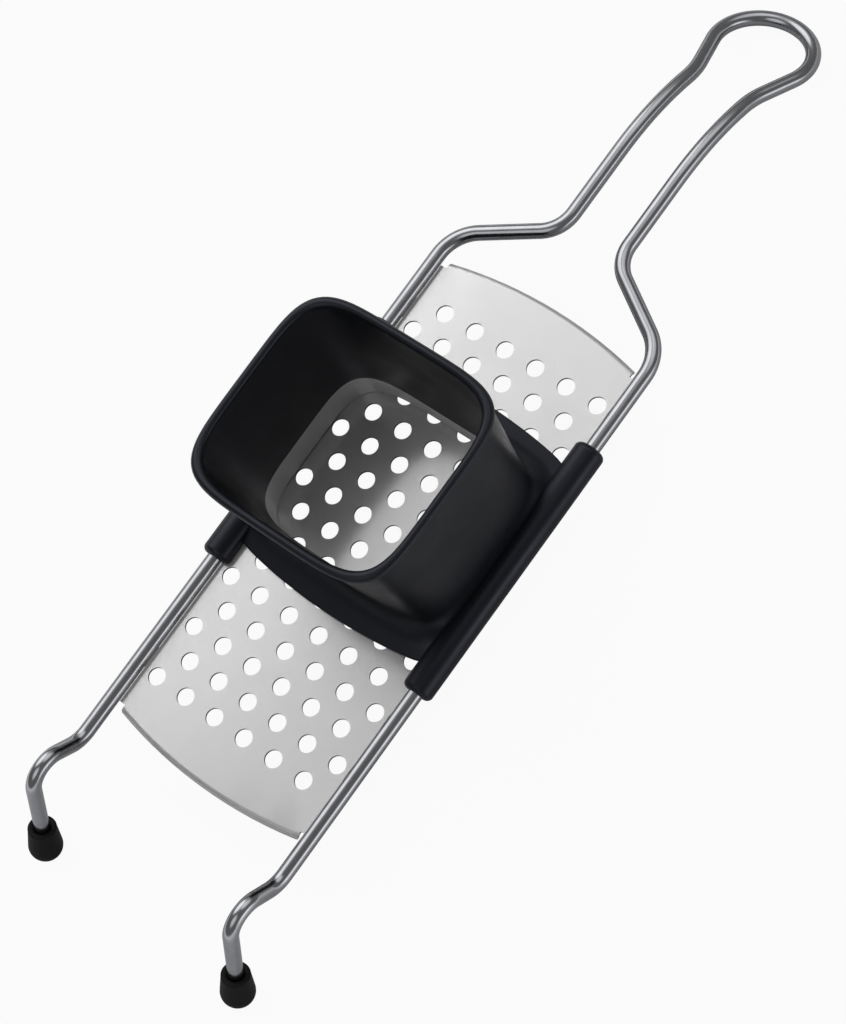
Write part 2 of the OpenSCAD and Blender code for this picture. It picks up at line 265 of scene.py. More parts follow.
@dataclass(frozen=True)
class ShadedCutEdge:
    """The walls of the holes and the cut edges: the punch's duller torn metal, coloured dark as
    painted shade inside the holes.
    """

    # Dark as painted shade in the hole walls; the roughness is the cut metal's own.
    colour: str = "#3e3f43"
    roughness: float = 0.42

    def build(self) -> bpy.types.Material:
        """Builds a duller metal than the rolled faces, darkened as painted shade in the holes.

        Returns:
            The cut edges' material.
        """
        material, tree = new_material("cut_edge_painted_shade")
        shader = add(tree, "ShaderNodeBsdfPrincipled", {
            "Base Color": linear(self.colour), "Metallic": 1.0, "Roughness": self.roughness,
        })
        add(tree, "ShaderNodeOutputMaterial", {"Surface": shader.outputs[0]})
        return material


@dataclass(frozen=True)
class WeldMetal:
    """Bare resistance weld on stainless: grey, rough and rippled across its length, with a
    straw-coloured heat tint in patches."""

    colour: str = "#8f8f91"
    straw: str = "#8c7a5c"
    straw_share: float = 0.7
    tint_mm: float = 4.0
    roughness: float = 0.45
    ripple_mm: float = 1.1
    ripple_depth_mm: float = 0.15

    def build(self) -> bpy.types.Material:
        """Builds the material on object coordinates, with ripples across Y.

        Returns:
            The weld beads' material.
        """
        material, tree = new_material("bare_weld_on_stainless")
        place = add(tree, "ShaderNodeTexCoord").outputs["Object"]
        in_mm = add(tree, "ShaderNodeVectorMath", {0: place, "Scale": 1 / MM}, operation="SCALE")
        ripple = add(tree, "ShaderNodeTexWave",
                     {"Vector": in_mm.outputs[0], "Scale": 1 / (self.ripple_mm * math.pi),
                      "Distortion": 1.5, "Detail": 2.0},
                     bands_direction="Y")
        tint = add(tree, "ShaderNodeTexNoise",
                   {"Vector": in_mm.outputs[0], "Scale": 1 / self.tint_mm, "Detail": 3.0})
        heated = add(tree, "ShaderNodeMapRange", {
            "Value": tint.outputs["Fac"], "From Min": 0.45, "From Max": 0.7,
            "To Min": 0.0, "To Max": self.straw_share,
        }, interpolation_type="SMOOTHSTEP")
        colour = add(tree, "ShaderNodeMix", {
            "Factor": heated.outputs["Result"],
            "A": linear(self.colour), "B": linear(self.straw),
        }, data_type="RGBA")
        bump = add(tree, "ShaderNodeBump", {
            "Height": ripple.outputs["Fac"], "Strength": 0.8,
            "Distance": self.ripple_depth_mm * MM,
        })
        shader = add(tree, "ShaderNodeBsdfPrincipled", {
            "Base Color": colour.outputs["Result"], "Metallic": 1.0,
            "Roughness": self.roughness, "Normal": bump.outputs[0],
        })
        add(tree, "ShaderNodeOutputMaterial", {"Surface": shader.outputs[0]})
        return material


@dataclass(frozen=True)
class MouldedPlastic:
    """Black polypropylene, injection moulded in a fine-sparked tool: a soft sheen, a very fine
    grain, and slightly shinier patches here and there, as handling leaves."""

    colour: str = "#121317"
    rubbed_colour: str = "#17181c"
    sheen_tint: str = "#dde4f7"
    sheen_level: float = 0.44
    index: float = 1.46
    roughness: float = 0.36
    roughness_swing: float = 0.05
    # The grain of a sparked tool is finer; this is drawn coarse enough to show.
    grain_mm: float = 0.5
    grain_depth_mm: float = 0.015
    grain_strength: float = 0.6
    flow_mm: float = 30.0

    def build(self) -> bpy.types.Material:
        """Builds the material on object coordinates.

        Returns:
            The hopper's material.
        """
        material, tree = new_material("moulded_black_polypropylene")
        place = add(tree, "ShaderNodeTexCoord").outputs["Object"]
        in_mm = add(tree, "ShaderNodeVectorMath", {0: place, "Scale": 1 / MM}, operation="SCALE")
        grain = add(tree, "ShaderNodeTexNoise",
                    {"Vector": in_mm.outputs[0], "Scale": 1 / self.grain_mm, "Detail": 3.0})
        flow = add(tree, "ShaderNodeTexNoise",
                   {"Vector": in_mm.outputs[0], "Scale": 1 / self.flow_mm, "Detail": 3.0})
        rubbed = add(tree, "ShaderNodeMapRange", {
            "Value": flow.outputs["Fac"], "From Min": 0.35, "From Max": 0.7,
            "To Min": 0.0, "To Max": 1.0,
        }, interpolation_type="SMOOTHSTEP")
        colour = add(tree, "ShaderNodeMix", {
            "Factor": rubbed.outputs["Result"],
            "A": linear(self.colour), "B": linear(self.rubbed_colour),
        }, data_type="RGBA")
        bump = add(tree, "ShaderNodeBump", {
            "Height": grain.outputs["Fac"], "Strength": self.grain_strength,
            "Distance": self.grain_depth_mm * MM,
        })
        gloss = add(tree, "ShaderNodeMapRange", {
            "Value": flow.outputs["Fac"], "From Min": 0.35, "From Max": 0.7,
            "To Min": self.roughness + self.roughness_swing,
            "To Max": self.roughness - self.roughness_swing,
        }, interpolation_type="SMOOTHSTEP")
        shader = add(tree, "ShaderNodeBsdfPrincipled", {
            "Base Color": colour.outputs["Result"], "IOR": self.index,
            "Specular IOR Level": self.sheen_level, "Specular Tint": linear(self.sheen_tint),
            "Roughness": gloss.outputs["Result"], "Normal": bump.outputs[0],
        })
        add(tree, "ShaderNodeOutputMaterial", {"Surface": shader.outputs[0]})
        return material


@dataclass(frozen=True)
class GreyReflectionBand:
    """Satin plastic at the foot of the hopper's walls, coloured light grey as a painted reflection
    of the sheet in the black wall. That reading is a guess: the photograph shows a grey there, but
    not what it is."""

    colour: str = "#e2e0e1"
    index: float = 1.5
    roughness: float = 0.36

    def build(self) -> bpy.types.Material:
        """Builds a grey satin plastic, whose grey is painted reflection.

        Returns:
            The band's material.
        """
        material, tree = new_material("grey_band_painted_reflection")
        shader = add(tree, "ShaderNodeBsdfPrincipled", {
            "Base Color": linear(self.colour), "IOR": self.index, "Roughness": self.roughness,
        })
        add(tree, "ShaderNodeOutputMaterial", {"Surface": shader.outputs[0]})
        return material


@dataclass(frozen=True)
class CapRubber:
    """Dip-moulded soft PVC: near black, dull, with a slightly dusty bloom."""

    colour: str = "#101011"
    bloom_colour: str = "#171718"
    index: float = 1.5
    sheen_level: float = 0.14
    roughness: float = 0.55
    # Real pores are finer; these are drawn coarse enough to show.
    pore_mm: float = 0.6
    pore_depth_mm: float = 0.03
    pore_strength: float = 0.5

    def build(self) -> bpy.types.Material:
        """Builds the material on object coordinates.

        Returns:
            The caps' material.
        """
        material, tree = new_material("black_rubber")
        place = add(tree, "ShaderNodeTexCoord").outputs["Object"]
        in_mm = add(tree, "ShaderNodeVectorMath", {0: place, "Scale": 1 / MM}, operation="SCALE")
        pores = add(tree, "ShaderNodeTexNoise",
                    {"Vector": in_mm.outputs[0], "Scale": 1 / self.pore_mm, "Detail": 4.0})
        colour = add(tree, "ShaderNodeMix", {
            "Factor": pores.outputs["Fac"],
            "A": linear(self.colour), "B": linear(self.bloom_colour),
        }, data_type="RGBA")
        bump = add(tree, "ShaderNodeBump", {
            "Height": pores.outputs["Fac"], "Strength": self.pore_strength,
            "Distance": self.pore_depth_mm * MM,
        })
        shader = add(tree, "ShaderNodeBsdfPrincipled", {
            "Base Color": colour.outputs["Result"], "IOR": self.index,
            "Specular IOR Level": self.sheen_level,
            "Roughness": self.roughness, "Normal": bump.outputs[0],
        })
        add(tree, "ShaderNodeOutputMaterial", {"Surface": shader.outputs[0]})
        return material


# ---- mesh helpers


def smooth_piece(name: str, mesh: bmesh.types.BMesh, material: bpy.types.Material,
                 sharp_degrees: float = 40.0) -> bpy.types.Object:
    """Makes a shaded object from a finished bmesh.

    Args:
        name: The object's name.
        mesh: The bmesh, in metres and in the row's frame, which is freed.
        material: The finish.
        sharp_degrees: Edges that turn more than this stay sharp.

    Returns:
        The linked object, at the origin.
    """
    for face in mesh.faces:
        face.smooth = True
    for edge in mesh.edges:
        if len(edge.link_faces) == 2:
            edge.smooth = edge.calc_face_angle(0.0) < math.radians(sharp_degrees)
    data = bpy.data.meshes.new(name)
    mesh.to_mesh(data)
    mesh.free()
    data.materials.append(material)
    piece = bpy.data.objects.new(name, data)
    bpy.context.scene.collection.objects.link(piece)
    return piece


def flat_normals(piece: bpy.types.Object) -> None:
    """Lets the large faces keep their own shading beside small bends and roundings.

    Args:
        piece: The piece to shade so.
    """
    weighted = piece.modifiers.new("flat_faces_first", "WEIGHTED_NORMAL")
    weighted.mode = "FACE_AREA"
    weighted.weight = 50
    weighted.keep_sharp = True


def spin_arc(mesh: bmesh.types.BMesh, start: Vector, centre: Vector, degrees: float,
             steps: int) -> bmesh.types.BMVert:
    """Draws an arc of edges in the plane across a rail.

    Args:
        mesh: The bmesh that takes the arc.
        start: The arc's first point.
        centre: Its centre.
        degrees: The angle that it turns through, from +X towards +Z.
        steps: The number of edges along it.

    Returns:
        The arc's last vertex.
    """
    turned = bmesh.ops.spin(mesh, geom=[mesh.verts.new(start)], cent=centre, axis=(0, -1, 0),
                            dvec=(0, 0, 0), angle=math.radians(degrees), steps=steps,
                            use_merge=False, use_normal_flip=False, use_duplicate=False)
    return turned["geom_last"][0]


# ---- the layout


@dataclass(frozen=True)
class Layout:
    """Sizes that several pieces share, in millimetres from the middle of the sheet's top."""

    wire_d: float = 6.0
    rail_gap: float = 98.0
    stand_h: float = 31.5
    side_len: float = 203.0
    rail_rise: float = 1.5
    mid_y: float = 47.716

    @property
    def rail_x(self) -> float:
        """Distance of each rail's axis from the mirror plane."""
        return self.rail_gap / 2

    @property
    def wire_r(self) -> float:
        """Radius of the wire."""
        return self.wire_d / 2

    @property
    def table(self) -> Matrix:
        """Turns the sheet's millimetres into the row's metres."""
        return (Matrix.Scale(MM, 4)
                @ Matrix.Translation((0, -self.mid_y, self.stand_h)))


LAYOUT = Layout()


# ---- the wire


@dataclass
class BentWire:
    """A round wire that grows as a wire former makes it: feed, turn the plane, bend."""

    place: Matrix
    radius: float
    sides: int = 32
    step_degrees: float = 3.0
    fed: float = 0.0
    mesh: bmesh.types.BMesh = field(init=False)
    layer: bmesh.types.BMLayerItem = field(init=False)
    front: list[bmesh.types.BMEdge] = field(init=False)

    def __post_init__(self) -> None:
        """Starts the wire with one ring of edges."""
        self.mesh = bmesh.new()
        self.layer = self.mesh.verts.layers.float_vector.new("wire_place")
        ring = bmesh.ops.create_circle(self.mesh, cap_ends=False, segments=self.sides,
                                       radius=self.radius)["verts"]
        for vert in ring:
            vert[self.layer] = vert.co * MM
        bmesh.ops.transform(self.mesh, matrix=self.place, verts=ring)
        self.front = list(self.mesh.edges)

    def feed(self, length: float) -> "BentWire":
        """Adds a straight stretch.

        Args:
            length: Its length, in millimetres.

        Returns:
            The same wire.
        """
        grown = bmesh.ops.extrude_edge_only(self.mesh, edges=self.front)["geom"]
        verts = [g for g in grown if isinstance(g, bmesh.types.BMVert)]
        heading = self.place.to_3x3() @ Vector((0, 0, 1))
        bmesh.ops.translate(self.mesh, verts=verts, vec=heading * length)
        self.front = self._edges_between(verts)
        self.fed += length
        for vert in verts:
            vert[self.layer].z = self.fed * MM
        self.place = self.place @ Matrix.Translation((0, 0, length))
        return self

    def turn(self, degrees: float) -> "BentWire":
        """Turns the plane of the next bend about the wire's own axis."""
        self.place = self.place @ Matrix.Rotation(math.radians(degrees), 4, "Z")
        return self

    def bend(self, radius: float, degrees: float) -> "BentWire":
        """Adds a bend.

        Args:
            radius: The bend's radius to the wire's axis, in millimetres.
            degrees: The angle that it turns through.

        Returns:
            The same wire.
        """
        centre = self.place @ Vector((radius, 0, 0))
        axis = self.place.to_3x3() @ Vector((0, 1, 0))
        ring = list({vert for edge in self.front for vert in edge.verts})
        before = set(self.mesh.verts)
        last = bmesh.ops.spin(self.mesh, geom=self.front + ring, cent=centre, axis=axis,
                              dvec=(0, 0, 0), angle=math.radians(degrees),
                              steps=math.ceil(degrees / self.step_degrees),
                              use_merge=False, use_normal_flip=False,
                              use_duplicate=False)["geom_last"]
        self.front = self._edges_between([g for g in last if isinstance(g, bmesh.types.BMVert)])
        back = self.place.inverted()
        for vert in set(self.mesh.verts) - before:
            local = back @ vert.co
            turned = math.atan2(local.z, radius - local.x)
            vert[self.layer].z = (self.fed + radius * turned) * MM
        self.fed += radius * math.radians(degrees)
        self.place = (self.place @ Matrix.Translation((radius, 0, 0))
                      @ Matrix.Rotation(math.radians(degrees), 4, "Y")
                      @ Matrix.Translation((-radius, 0, 0)))
        return self

    def close(self) -> "BentWire":
        """Caps the open front end."""
        bmesh.ops.edgenet_fill(self.mesh, edges=self.front)
        return self

    @staticmethod
    def _edges_between(verts: list[bmesh.types.BMVert]) -> list[bmesh.types.BMEdge]:
        """Finds edges by their ends.

        Args:
            verts: The vertices to look among.

        Returns:
            The edges that have both ends among them.
        """
        chosen = set(verts)
        return [e for e in {edge for vert in verts for edge in vert.link_edges}
                if set(e.verts) <= chosen]


@dataclass
class WireFrame:
    """The one bent wire: rails, hooks, legs, shoulders, arms and the closed loop."""

    finish: PolishedWire = PolishedWire()
    rail_past_feet: float = 15.5
    rail_past_handle: float = 2.5
    hook_rise: float = 12.0
    hook_climb: float = 47.0
    hook_foot_r: float = 11.0
    hook_top_r: float = 9.5
    leg_lean: float = 24.0
    leg_len: float = 35.293
    arm_gap: float = 26.4
    shoulder_slope: float = 31.5
    shoulder_r: float = 18.0
    neck_r: float = 14.5
    arm_len: float = 30.0
    droop_r: float = 95.0
    droop_turn: float = 25.0
    grip_run: float = 0.7895
    flare_r: float = 35.0
    flare_turn: float = 17.0
    loop_r: float = 19.7
    merge_mm: float = 0.01

    def _rail_front(self, tilt_degrees: float) -> Matrix:
        """Places the start of a bend at the right rail's front end.

        Args:
            tilt_degrees: The turn about X that points the wire along the rail.

        Returns:
            The wire's place, with its own Z along the wire.
        """
        return (Matrix.Translation((LAYOUT.rail_x, -LAYOUT.side_len / 2 - self.rail_past_feet,
                                    LAYOUT.rail_rise))
                @ Matrix.Rotation(math.radians(tilt_degrees), 4, "X"))

    def _handle(self) -> BentWire:
        """Bends the right half of the handle, from the rail's front end to the loop's tip.

        Returns:
            The wire, open at both ends.
        """
        turn = 90 - self.shoulder_slope
        arm_x = self.arm_gap / 2
        slope = math.radians(turn)
        shoulder_run = ((LAYOUT.rail_x - arm_x
                         - (self.shoulder_r + self.neck_r) * (1 - math.cos(slope)))
                        / math.sin(slope))
        flare = math.radians(self.flare_turn)
        flare_run = ((self.loop_r * math.cos(flare) - arm_x - self.flare_r * (1 - math.cos(flare)))
                     / math.sin(flare))
        rail = LAYOUT.side_len + self.rail_past_feet + self.rail_past_handle
        wire = BentWire(self._rail_front(-90), LAYOUT.wire_r)
        wire.feed(rail).turn(180).bend(self.shoulder_r, turn)
        wire.feed(shoulder_run).turn(180).bend(self.neck_r, turn)
        wire.feed(self.arm_len).turn(90).bend(self.droop_r, self.droop_turn)
        wire.feed(self.grip_run).turn(-90).bend(self.flare_r, self.flare_turn)
        wire.feed(flare_run).turn(180).bend(self.loop_r, 90 + self.flare_turn)
        return wire

    def _hook(self) -> BentWire:
        """Bends the right hook and leg, from the rail's front end to the foot.

        Returns:
            The wire, closed at the foot.
        """
        climb = math.radians(self.hook_climb)
        run = ((self.hook_rise - (self.hook_foot_r + self.hook_top_r) * (1 - math.cos(climb)))
               / math.sin(climb))
        wire = BentWire(self._rail_front(90), LAYOUT.wire_r)
        wire.turn(90).bend(self.hook_foot_r, self.hook_climb)
        wire.feed(run).turn(180).bend(self.hook_top_r, self.hook_climb + 90 - self.leg_lean)
        return wire.feed(self.leg_len).close()

    def build(self) -> list[bpy.types.Object]:
        """Joins the bends into one mirrored mesh.

        Returns:
            The wire's one object.
        """
        whole = bmesh.new()
        whole.verts.layers.float_vector.new("wire_place")
        for wire in (self._handle(), self._hook()):
            part = bpy.data.meshes.new("part_of_wire")
            wire.mesh.to_mesh(part)
            wire.mesh.free()
            whole.from_mesh(part)
            bpy.data.meshes.remove(part)
        bmesh.ops.remove_doubles(whole, verts=whole.verts[:], dist=self.merge_mm)
        bmesh.ops.mirror(whole, geom=whole.verts[:] + whole.edges[:] + whole.faces[:],
                         axis="X", merge_dist=self.merge_mm)
        bmesh.ops.transform(whole, matrix=LAYOUT.table, verts=whole.verts[:])
        bmesh.ops.recalc_face_normals(whole, faces=whole.faces[:])
        piece = smooth_piece("bent_wire", whole, self.finish.build(), sharp_degrees=60.0)
        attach(piece, Body.FRAME.value)
        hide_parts("wire_frame")
        return [piece]


# ---- the sheet


@dataclass
class PerforatedSheet:
    """The punched sheet with its turned-down ends, and the welds that join it to the wire."""

    finish: SatinSheet = SatinSheet()
    cut_edge_shade: ShadedCutEdge = ShadedCutEdge()
    weld: WeldMetal = WeldMetal()
    merge_mm: float = 0.002
    top_margin_mm: float = 0.01
    upright_limit: float = 0.05

    def build(self) -> list[bpy.types.Object]:
        """Dresses the sheet and the weld beads.

        Returns:
            The sheet's object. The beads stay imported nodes.
        """
        mesh = bmesh.new()
        mesh.from_mesh(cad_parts["perforated_plate"].data)
        bmesh.ops.remove_doubles(mesh, verts=mesh.verts[:], dist=self.merge_mm * MM)
        mesh.normal_update()
        # The upright faces at the top, the hole walls and cut edges, take the dark finish that
        # paints their shade.
        for face in mesh.faces:
            upright = abs(face.normal.z) < self.upright_limit
            highest = max(vert.co.z for vert in face.verts)
            on_top = highest > (LAYOUT.stand_h - self.top_margin_mm) * MM
            face.material_index = int(upright and on_top)
        sheet = smooth_piece("punched_sheet", mesh, self.finish.build(), sharp_degrees=35.0)
        sheet.data.materials.append(self.cut_edge_shade.build())
        flat_normals(sheet)
        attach(sheet, Body.FRAME.value)
        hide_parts("perforated_plate")
        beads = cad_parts["weld_beads"]
        beads.data.materials.clear()
        beads.data.materials.append(self.weld.build())
        return [sheet]


# ---- the hopper


WALL_SQUARENESS = 5.0


@dataclass(frozen=True)
class Ring:
    """One level outline of the hopper, in millimetres above the sheet."""

    z: float
    half_x: float
    half_y: float
    squareness: float = WALL_SQUARENESS
    bulge: float = 0.0

    def point(self, angle: float, centre_y: float) -> Vector:
        """Finds the outline's point in the direction of the angle.

        Args:
            angle: The direction from the hopper's axis, in radians.
            centre_y: The place of the hopper's axis along the sheet.

        Returns:
            The point, in millimetres.
        """
        n = self.squareness
        c, s = math.cos(angle), math.sin(angle)
        reach = (abs(c / self.half_x) ** n + abs(s / self.half_y) ** n) ** (-1 / n)
        x, y = reach * c, reach * s
        bow = self.bulge * (1 - (x / self.half_x) ** 2) * abs(y / self.half_y) ** 2
        y += math.copysign(bow, y)
        return Vector((x, centre_y + y, self.z))


@dataclass
class Hopper:
    """The moulded hopper: rolled rim, sloping walls, hollow flare, skirt and two channels."""

    finish: MouldedPlastic = MouldedPlastic()
    reflection_band: GreyReflectionBand = GreyReflectionBand()
    middle_y: float = 16.6
    height: float = 73.0
    rim_w: float = 93.0
    rim_l: float = 85.8
    rim_roll: float = 3.7
    rim_roll_h: float = 3.8
    rim_set_back: float = 1.2
    rim_ease: float = 0.5
    rim_tuck: float = 0.1
    wall: float = 2.6
    throat_x: float = 43.4
    throat_y: float = 34.0
    throat_h: float = 15.0
    throat_chamfer: float = 0.4
    knee_above: float = 1.5
    knee_below: float = 1.0
    knee_out: float = 0.3
    band_reach: float = 1.06
    skirt_y: float = 48.5
    skirt_bulge: float = 4.9
    skirt_t: float = 2.3
    skirt_edge: float = 0.7
    skirt_ease: float = 0.3
    skirt_squareness: float = 14.0
    sheet_gap: float = 0.3
    flare_h: float = 13.0
    flare_steps: int = 12
    channel_r: float = 6.0
    channel_len: float = 109.5
    channel_end_r: float = 2.4
    channel_steps: int = 64
    bore_r: float = 3.25
    bore_steps: int = 48
    end_steps: int = 8
    wall_clearance: float = 0.02
    around: int = 192
    material: bpy.types.Material = field(init=False)

    def _rolled_rim(self) -> list[Ring]:
        """Rings round the rim's bead, from under its outer lip to the inside wall.

        Returns:
            The rings, in order.
        """
        half_w, half_h = self.rim_roll / 2, self.rim_roll_h / 2
        rings = []
        for degrees in range(-60, 181, 15):
            a = math.radians(degrees)
            inset = half_w * (1 - math.cos(a))
            rings.append(Ring(self.height - half_h * (1 - math.sin(a)),
                              self.rim_w / 2 - inset, self.rim_l / 2 - inset))
        return rings

    def _outer_wall(self) -> list[Ring]:
        """Rings up the outside: the skirt's edge, the hollow flare and the sloping wall.

        Returns:
            The rings, in order.
        """
        wall_x, wall_y = self.throat_x + self.wall, self.throat_y + self.wall
        skirt_hy = self.skirt_y - self.skirt_bulge
        low, top = self.sheet_gap, self.sheet_gap + self.skirt_t
        edge, square = self.skirt_edge, self.skirt_squareness
        ease = self.skirt_ease * edge
        skirt_x = LAYOUT.rail_x
        rings = [
            Ring(low, skirt_x, skirt_hy - edge / 2, square, self.skirt_bulge),
            Ring(low + edge / 2, skirt_x, skirt_hy, square, self.skirt_bulge),
            Ring(top - edge, skirt_x, skirt_hy, square, self.skirt_bulge),
            Ring(top - ease, skirt_x, skirt_hy - ease, square, self.skirt_bulge),
            Ring(top, skirt_x, skirt_hy - edge, square, self.skirt_bulge),
        ]
        for k in range(1, self.flare_steps + 1):
            t = k / self.flare_steps
            out = 1 - math.sqrt(1 - (1 - t) ** 2)
            rings.append(Ring(top + (self.flare_h - top) * t,
                              wall_x + (skirt_x - wall_x) * out,
                              wall_y + (skirt_hy - edge - wall_y) * out,
                              WALL_SQUARENESS + (square - WALL_SQUARENESS) * out,
                              self.skirt_bulge * out))
        rings.append(Ring(self.throat_h + self.wall, wall_x, wall_y))
        under = self.height - self.rim_roll_h
        rim_in, tuck = self.rim_roll - self.wall, self.rim_tuck
        rim_x, rim_y = self.rim_w / 2 - rim_in, self.rim_l / 2 - rim_in
        rings.append(Ring(under - self.rim_ease, rim_x, rim_y))
        rings.append(Ring(under + tuck, rim_x + tuck, rim_y + tuck))
        return rings

    def _inner_wall(self) -> list[Ring]:
        """Rings down the inside, from the wall's knee to the throat's lower edge.

        Returns:
            The rings, in order.
        """
        chamfer = self.throat_chamfer
        return [
            Ring(self.throat_h + self.knee_above, self.throat_x,
                 self.throat_y + self.knee_out),
            Ring(self.throat_h - self.knee_below, self.throat_x, self.throat_y),
            Ring(self.sheet_gap + chamfer, self.throat_x, self.throat_y),
            Ring(self.sheet_gap, self.throat_x + chamfer, self.throat_y + chamfer),
        ]

    def _centre_y(self, z: float) -> float:
        """Finds the walls' middle, which drifts back towards the feet with height.

        Args:
            z: The height above the sheet.

        Returns:
            The middle's place along the sheet.
        """
        knee = self.throat_h + self.wall
        return self.middle_y - self.rim_set_back * max(0.0, (z - knee) / (self.height - knee))

    def _shell(self) -> bpy.types.Object:
        """Raises the shell ring by ring and joins its last ring to its first.

        Returns:
            The shell's object.
        """
        mesh = bmesh.new()
        turn = mesh.verts.layers.float.new("turn")
        rings = self._outer_wall() + self._rolled_rim() + self._inner_wall()
        first = bmesh.ops.create_circle(mesh, cap_ends=False, segments=self.around,
                                        radius=1.0)["verts"]
        for vert in first:
            vert[turn] = math.atan2(vert.co.y, vert.co.x)
            vert.co = rings[0].point(vert[turn], self._centre_y(rings[0].z))
        first_edges = list(mesh.edges)
        edges = first_edges
        for ring in rings[1:]:
            grown = bmesh.ops.extrude_edge_only(mesh, edges=edges)["geom"]
            edges = [g for g in grown if isinstance(g, bmesh.types.BMEdge)]
            for vert in (g for g in grown if isinstance(g, bmesh.types.BMVert)):
                vert.co = ring.point(vert[turn], self._centre_y(ring.z))
        bmesh.ops.bridge_loops(mesh, edges=first_edges + edges)
        bmesh.ops.transform(mesh, matrix=LAYOUT.table, verts=mesh.verts[:])
        bmesh.ops.recalc_face_normals(mesh, faces=mesh.faces[:])
        # The inner faces low in the throat take the light grey that paints the sheet's reflection.
        for face in mesh.faces:
            middle = LAYOUT.table.inverted() @ face.calc_center_median()
            reach = (abs(middle.x / self.throat_x) ** WALL_SQUARENESS
                     + abs((middle.y - self.middle_y) / self.throat_y) ** WALL_SQUARENESS)
            inside = reach < self.band_reach
            low = self.sheet_gap < middle.z < self.throat_h - self.knee_below
            face.material_index = int(inside and low)
        shell = smooth_piece("hopper_shell", mesh, self.material, sharp_degrees=50.0)
        shell.data.materials.append(self.reflection_band.build())
        return shell

    def _channel_stations(self) -> list[tuple[float, float]]:
        """Stations along a channel, close together where its ends are rounded.

        Returns:
            For each, the travel from the near end and the outside radius there.
        """
        rounding = []
        for k in range(self.end_steps + 1):
            a = math.radians(90 * k / self.end_steps)
            rounding.append((self.channel_end_r * (1 - math.cos(a)),
                             self.channel_r - self.channel_end_r * (1 - math.sin(a))))
        return rounding + [(self.channel_len - y, radius) for y, radius in reversed(rounding)]

    def _channel(self, side: Side) -> bpy.types.Object:
        """Spins the section of one running channel and draws it out along its rail.

        Args:
            side: The rail that the channel runs on.

        Returns:
            The channel's object.
        """
        mesh = bmesh.new()
        turn = mesh.verts.layers.float.new("turn")
        outside = mesh.verts.layers.float.new("outside")
        rail = Vector((LAYOUT.rail_x, self.middle_y - self.channel_len / 2, LAYOUT.rail_rise))
        drop = rail.z - self.sheet_gap
        last = [
            spin_arc(mesh, rail - Vector((0, 0, radius)), rail,
                     270 + math.degrees(math.asin(drop / radius)), steps)
            for radius, steps in ((self.channel_r, self.channel_steps),
                                  (self.bore_r, self.bore_steps))
        ]
        first = [v for v in mesh.verts if len(v.link_edges) == 1 and v not in last]
        mesh.edges.new(first)
        mesh.edges.new(last)
        for vert in mesh.verts:
            reach = vert.co - rail
            vert[turn] = math.atan2(reach.z, reach.x)
            vert[outside] = float(reach.length > (self.channel_r + self.bore_r) / 2)
        edges = list(mesh.edges)
        section = list(mesh.verts)
        for travel, radius in self._channel_stations():
            if travel > 0:
                grown = bmesh.ops.extrude_edge_only(mesh, edges=edges)["geom"]
                edges = [g for g in grown if isinstance(g, bmesh.types.BMEdge)]
                section = [g for g in grown if isinstance(g, bmesh.types.BMVert)]
            for vert in section:
                r = radius if vert[outside] > 0.5 else self.bore_r
                a = vert[turn]
                vert.co = rail + Vector((r * math.cos(a), travel, r * math.sin(a)))
                vert.co.x = max(vert.co.x, self.throat_x + self.wall_clearance)
            if travel in (0, self.channel_len):
                bmesh.ops.contextual_create(mesh, geom=edges)
        if side is Side.LEFT:
            bmesh.ops.scale(mesh, vec=(-1, 1, 1), verts=mesh.verts[:])
        bmesh.ops.transform(mesh, matrix=LAYOUT.table, verts=mesh.verts[:])
        bmesh.ops.recalc_face_normals(mesh, faces=mesh.faces[:])
        channel = smooth_piece(f"{side.name.lower()}_channel", mesh, self.material,
                               sharp_degrees=45.0)
        flat_normals(channel)
        return channel

    def build(self) -> list[bpy.types.Object]:
        """Builds the shell and both channels.

        Returns:
            The hopper's objects.
        """
        self.material = self.finish.build()
        pieces = [self._shell()] + [self._channel(side) for side in Side]
        for piece in pieces:
            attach(piece, Body.HOPPER.value)
            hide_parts("hopper")
        return pieces


# ---- the caps


